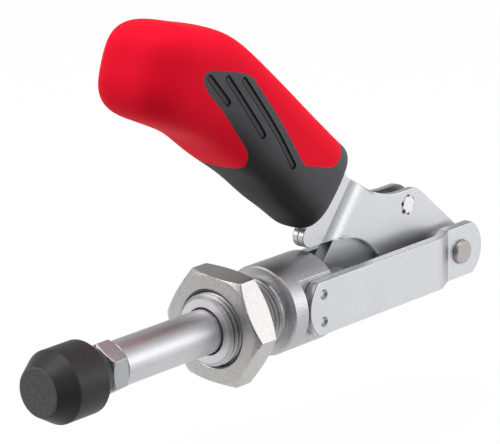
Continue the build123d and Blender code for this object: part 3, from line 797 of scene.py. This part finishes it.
# %% Paper floor
FLOOR_Z = -45 * MM
FLOOR_SIZE = 4.0
PAPER_FRONT = Vector((0.749, 0.6627, 0.0))
PAPER_END, PAPER_FADE = 30 * MM, 150 * MM
PAPER_GLOW = 0.93
BLACK_CARD, PAPER_WHITE, PAPER_LIGHT = (0.08, 0.08, 0.085), (0.88, 0.88, 0.88), (1.0, 1.0, 1.0)

floor_shape = bmesh.new()
bmesh.ops.create_grid(floor_shape, x_segments=1, y_segments=1, size=FLOOR_SIZE)
bmesh.ops.translate(floor_shape, verts=floor_shape.verts, vec=(0.0, 0.0, FLOOR_Z))
floor_mesh = bpy.data.meshes.new("studio_floor")
floor_shape.to_mesh(floor_mesh)
floor_shape.free()
floor = bpy.data.objects.new("studio_floor", floor_mesh)
scene.collection.objects.link(floor)

paper = Finish("white_paper", Roughness=0.9, Specular_IOR_Level=0.0)
camera_sees = paper.light_path("Is Camera Ray")
on_paper = paper.place(PAPER_FRONT).rise(PAPER_END + PAPER_FADE, PAPER_END).at_least(camera_sees)
paper.feed(Base_Color=paper.mix(on_paper, BLACK_CARD, PAPER_WHITE))
glow = paper.node("ShaderNodeEmission", inputs={"Color": paper.mix(on_paper, BLACK_CARD, PAPER_LIGHT)})
watched = camera_sees.at_least(paper.light_path("Is Glossy Ray"))
watched = watched.at_least(paper.light_path("Is Transmission Ray")) * PAPER_GLOW
lit = Wire(paper, paper.shader.outputs[0])
shown = paper.node("ShaderNodeMixShader", inputs={0: watched, 1: lit, 2: glow})
paper.tree.links.new(shown.socket, paper.tree.nodes["Material Output"].inputs["Surface"])
floor_mesh.materials.append(paper.material)
print(f"paper floor {FLOOR_Z / MM:.0f} mm below the plunger's axis")

# %% [markdown]
# ### The room
# The room is an even pale grey, which fills the shadows. One side is brighter, as by a window,
# and two sides are dimmer, which puts the darker bands on the collar, the nut and the rod. An
# image of a real studio would do this too, but three soft patches are easier to move.

# %% Room
ROOM_LEVEL = 0.66
world = bpy.data.worlds.new("studio")
world.use_nodes = True
scene.world = world
room = Graph(world.node_tree)
room.tree.nodes.clear()
look = room.coordinates("Generated")


def toward(direction, tightness, strength):
    """A soft patch in one direction of the room."""
    facing = look.dot(Vector(direction).normalized()).at_least(0.0)
    return facing ** tightness * strength


brightness = ROOM_LEVEL + toward((-0.62, 0.78, 0.05), tightness=5.0, strength=0.45)
brightness = brightness * (1.0 - toward((0.80, 0.55, 0.20), tightness=3.0, strength=0.7))
brightness = brightness * (1.0 - toward((-0.74, -0.30, 0.60), tightness=9.0, strength=0.65))
tone = room.mix(brightness, (0.0, 0.0, 0.0), (1.0, 1.0, 1.0))
light = room.node("ShaderNodeBackground", inputs={"Color": tone, "Strength": 1.0})
ending = room.tree.nodes.new("ShaderNodeOutputWorld")
room.tree.links.new(light.socket, ending.inputs["Surface"])
print(f"room at {ROOM_LEVEL:.2f}, one side brighter and two dimmer")

# %% [markdown]
# ### Soft boxes
# Three soft boxes shape the clamp: a low wide one behind its left side draws the bright bands
# along rod and sleeve, a square one overhead lights the grip, and a small one at the picture's
# left fills the front faces. Large lamps give soft shadows, and their level is kept where a
# colour comes out about as it is written.


# %% Soft boxes
def soft_box(name, place, aim, width, height, watts):
    """A rectangular area lamp at place that looks at aim."""
    lamp = bpy.data.lights.new(name, "AREA")
    lamp.shape = "RECTANGLE"
    lamp.size = width
    lamp.size_y = height
    lamp.energy = watts
    box = bpy.data.objects.new(name, lamp)
    box.location = place
    box.rotation_mode = "QUATERNION"
    box.rotation_quaternion = (Vector(aim) - Vector(place)).to_track_quat("-Z", "Y")
    scene.collection.objects.link(box)
    print(f"{name}: {watts} W, {width} x {height} m")


CENTRE = (0.0, 0.0, 0.03)
soft_box("low_box", (-0.62, 0.80, 0.16), CENTRE, width=1.2, height=0.6, watts=3.2)
soft_box("top_box", (0.10, 0.05, 1.0), CENTRE, width=0.7, height=0.7, watts=6.4)
soft_box("left_box", (0.70, -0.42, 0.48), CENTRE, width=0.5, height=0.5, watts=2.4)

scene.view_settings.view_transform = "Standard"
